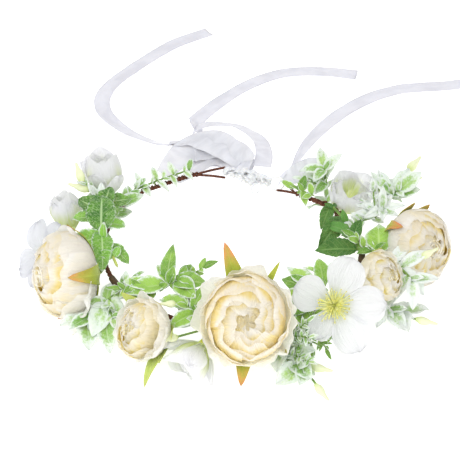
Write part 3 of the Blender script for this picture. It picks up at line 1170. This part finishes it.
BOW_ROUTE = [(14, 113, 31), (9, 124, 31), (0, 140, 27), (-14, 160, 19), (-31, 170, 12), (-45, 158, 7),
             (-55, 141, 4)]
BOW_SIDES = [(0.2, 0.6, 0.7), (0.3, 0.7, 0.6), (0.4, 0.8, 0.4), (0.3, 0.9, 0.3), (0.0, 1.0, 0.2),
             (-0.4, 0.8, 0.1), (-0.6, 0.7, 0.0)]
BOW_WIDTHS = (15, 17, 20, 30, 36, 24, 15)
LOOP_ROUTE = [(23, 110, 30), (25, 132, 29), (21, 158, 27), (6, 185, 22), (-9, 198, 17), (-24, 205, 12)]


def stage_of(values, t):
    """Where a place from 0 to 1 falls in a list: the values before and after it, and how far between them."""
    where = t * (len(values) - 1)
    k = min(int(where), len(values) - 2)
    return values[k], values[k + 1], where - k


def strip(skin, path, sides, widths, rng, curl=0.5, crease=0.15, columns=6):
    """A ribbon along a path. sides gives its crosswise directions and widths its widths, both spread evenly
    along the path, curl bows it across, and crease adds fine waves along it."""
    last = len(path) - 1
    phase = phases(rng, 4)
    rows = []
    travelled = 0.0
    for i, p in enumerate(path):
        ahead = (path[min(i + 1, last)] - path[max(i - 1, 0)]).normalized()
        if i:
            travelled += (p - path[i - 1]).length
        before, after, share = stage_of(sides, i / last)
        across = Vector(before).lerp(Vector(after), share).normalized()
        across = (across - ahead * across.dot(ahead)).normalized()
        normal = across.cross(ahead)
        if normal.z < 0:
            normal = -normal
        before, after, share = stage_of(widths, i / last)
        wide = before + (after - before) * share
        row = []
        for s in sideways(columns):
            wave = math.sin(travelled / 9 + 2 * s + phase[0])
            wave = crease * (wave + 0.6 * math.sin(travelled / 4.1 - 3 * s + phase[1]))
            bow = curl * (1 - s * s) * math.sin(travelled / 30 + phase[2])
            q = p + across * (s * wide / 2) + normal * (bow + wave)
            q.z = max(q.z, RIBBON_LOWEST)
            row.append(q)
        rows.append(row)
    skin.grid(rows, rng.random())


def make_tail(name, route, sides, seed):
    rng = random.Random(seed)
    path = smooth(route, 3)
    skin = Skin()
    strip(skin, path, sides, RIBBON_WIDTHS, rng)
    tail = skin.build(name, [SATIN], thickness=RIBBON_THICKNESS)


def make_tails():
    make_tail("tail_a", TAIL_A, [(0.2, 0.85, -0.4), (0.3, 0.85, -0.3), (0.6, 0.7, -0.1), (1, 0.3, 0),
                                 (0.8, -0.6, 0), (0.6, -0.8, -0.1), (0.6, -0.8, -0.2)], 51)
    make_tail("tail_b", TAIL_B, [(-0.3, 0.7, 0.2), (-0.6, 0.7, 0.1), (-0.5, 0.85, 0), (-0.3, 0.9, 0.05),
                                 (0, 1, 0.15), (0, 1, 0.25)], 52)
    make_tail("tail_c", TAIL_C, [(0.1, 0.85, -0.5), (0, 0.9, -0.4), (-0.1, 0.95, -0.2), (-0.4, 0.9, 0),
                                 (-0.4, 0.85, 0.1), (-0.2, 1, 0.15), (-0.1, 1, 0.2)], 53)


def crumpled(skin, path, radius, rng, lobes=5, pinch=()):
    """Ribbon gathered into a rope: a folded section that turns and swells along the path."""
    phase = phases(rng, 4)

    def section(t):
        points = []
        full = radius * (1 + 0.2 * math.sin(9 * t + phase[0]) + 0.14 * math.sin(23 * t + phase[1]))
        for place_at, width in pinch:
            full *= 1 - 0.4 * math.exp(-((t - place_at) / width) ** 2)
        full *= closing(t, 0.08)
        for k in range(56):
            a = FULL_TURN * k / 56
            fold = 0.3 * math.cos(lobes * a + FULL_TURN * 1.5 * t + phase[2])
            fold += 0.16 * math.cos(11 * a - 17 * t + phase[3])
            points.append((full * (1 + fold) * math.cos(a), full * (1 + fold) * 0.8 * math.sin(a)))
        return points
    sweep(skin, path, section, rng.random())


def flap(skin, centre, along, length, width, rng, lift):
    """A small crumpled fold of ribbon that stands off the tie: a strip that arches over and back."""
    ahead = Vector(along).normalized()
    side = ahead.cross(Vector((0, 0, 1))).normalized()
    up = side.cross(ahead)
    points = []
    for k in range(7):
        t = k / 6
        points.append(Vector(centre) + ahead * length * (t - 0.5) + up * lift * math.sin(math.pi * t))
    strip(skin, smooth(points, 0.8), [side + up * rng.uniform(-0.6, 0.6), side + up * rng.uniform(-0.6, 0.6)],
          (width, width), rng, curl=0.5, crease=0.5, columns=5)


def ribbon_ring(skin, centre, radius_a, radius_b, along, across, thickness):
    """A closed loop of thin rolled ribbon."""
    a, b = Vector(along).normalized(), Vector(across).normalized()
    turns = [FULL_TURN * k / 36 for k in range(37)]
    path = [Vector(centre) + a * radius_a * math.cos(t) + b * radius_b * math.sin(t) for t in turns]
    sweep(skin, path, round_section(lambda t: thickness, 8, 3, 0.15))


def make_tie():
    """The ribbon between the arms: its two halves, which stretch as an arm moves, and the knot."""
    rng = random.Random(61)
    left = Skin()
    crumpled(left, smooth([(-7.5, 105.2, 27.6), (-2, 104.2, 27.4), (3, 103.4, 26.8), (9.5, 101, 26.2)], 0.5),
             3.7, rng, pinch=[(0.1, 0.1), (0.6, 0.12)])
    for k in range(4):
        flap(left, (-4 + 3.6 * k, 105 - 0.8 * k, 28.5), (1, 0.5 - 0.4 * k, 0.2), 7.5, 5.5, rng, 2.4)
    piece = left.build("left_tie", [GATHERED], None)
    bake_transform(piece)
    right = Skin()
    crumpled(right, smooth([(17.5, 98, 25), (22, 96.2, 25.4), (26, 93.2, 26.2), (29, 91, 26.8)], 0.5), 3.5,
             rng, pinch=[(0.3, 0.12), (0.75, 0.1)])
    for k in range(3):
        flap(right, (19 + 3.5 * k, 97 - 1.9 * k, 28), (1, -0.2 - 0.3 * k, 0.1), 7.0, 5.2, rng, 2.2)
    ribbon_ring(right, (33.5, 89.2, 27.4), 6.2, 5.0, (0.85, -0.35, 0.1), (0.1, 0.55, 0.83), 0.75)
    piece = right.build("right_tie", [GATHERED], None)
    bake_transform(piece)
    knot = Skin()
    place = placement((13.6, 99.6, 25.6), (0.8, -0.35, -0.1))
    heights = (-5.2, -4.4, -3.4, -2, -0.6, 0.8, 2.2, 3.4, 4.4, 5.2)
    crumpled(knot, [place @ Vector((0, 0, z * 1.2)) for z in heights], 4.6, rng, lobes=4)
    for k in range(4):
        flap(knot, (9.5 + 3 * k, 101.5 - 1.3 * k, 30 - 0.5 * k), (1, 0.6 * (-1) ** k, 0.3), 8, 6, rng, 2.6)
    ribbon_ring(knot, (17.5, 92.5, 20.5), 4.6, 2.8, (0.1, 0.2, 1), (1, 0.1, 0), 0.7)
    knot.build("tie_knot", [GATHERED])


# Each strip of the bow: route, crosswise directions, widths, curl, crease, columns
BOW_STRIPS = [
    (BOW_ROUTE, BOW_SIDES, BOW_WIDTHS, 2.5, 0.7, 14),
    ([(13, 109, 28), (2, 124, 24), (-12, 141, 17), (-28, 138, 10), (-45, 128, 4)],
     [(0.3, 0.6, 0.6), (0.5, 0.7, 0.4), (0.6, 0.8, 0.2), (0.3, 0.9, 0.1), (0.4, 0.9, 0)],
     RIBBON_WIDTHS, 1.2, 0.5, 6),
    ([(8, 122, 26), (-8, 146, 24), (-26, 172, 17), (-42, 180, 10), (-54, 183, 7)],
     [(0.9, 0.3, 0.3), (0.8, 0.6, 0.2), (0.8, 0.6, 0.1), (0.4, 0.85, -0.1)],
     (14, 20, 24, 20, 11), 1.6, 0.6, 10),
    ([(15, 118, 24), (4, 140, 17), (-14, 158, 11), (-36, 160, 6)],
     [(0.5, 0.6, 0.6), (0.4, 0.8, 0.4), (0.2, 0.9, 0.3), (0.0, 0.9, 0.2)], (12, 20, 24, 18), 2.0, 0.7, 10)]
LOOP_STRIPS = [
    (LOOP_ROUTE + [(-32, 208, 6)],
     [(0.8, 0.5, -0.1), (0.7, 0.6, -0.2), (0.6, 0.75, -0.3), (0.3, 0.85, -0.35), (0.1, 0.85, -0.3),
      (0.0, 0.9, -0.1)], RIBBON_WIDTHS, 0.5, 0.15, 6),
    ([(38, 107, 18), (50, 110, 23), (64, 115, 24), (76, 112, 20)],
     [(0.1, 0.6, 0.8), (0, 0.5, 0.8), (0, 0.5, 0.8), (0, 0.6, 0.8)], (8, 16, 20, 12), 1.5, 0.6, 6)]


def make_bow():
    rng = random.Random(62)
    for name, satin, strips in (("bow_folds", SHEER, BOW_STRIPS), ("bow_loop", SATIN, LOOP_STRIPS)):
        skin = Skin()
        for route, sides, widths, *shape in strips:
            strip(skin, smooth(route, STEM_STEP), sides, widths, rng, *shape)
        skin.build(name, [satin], thickness=RIBBON_THICKNESS)



make_camera()
make_stage()
make_ring()
make_arm("left", on_ring(*CORE_ARC[0]), LEFT_ARM_BEND, LEFT_FORK, LEFT_TIPS, 90)
make_arm("right", on_ring(*CORE_ARC[-1]), RIGHT_ARM_BEND, RIGHT_FORK, RIGHT_TIPS, 90)
make_tie()
make_bow()
make_tails()
make_roses()
make_blossoms()
make_greenery()
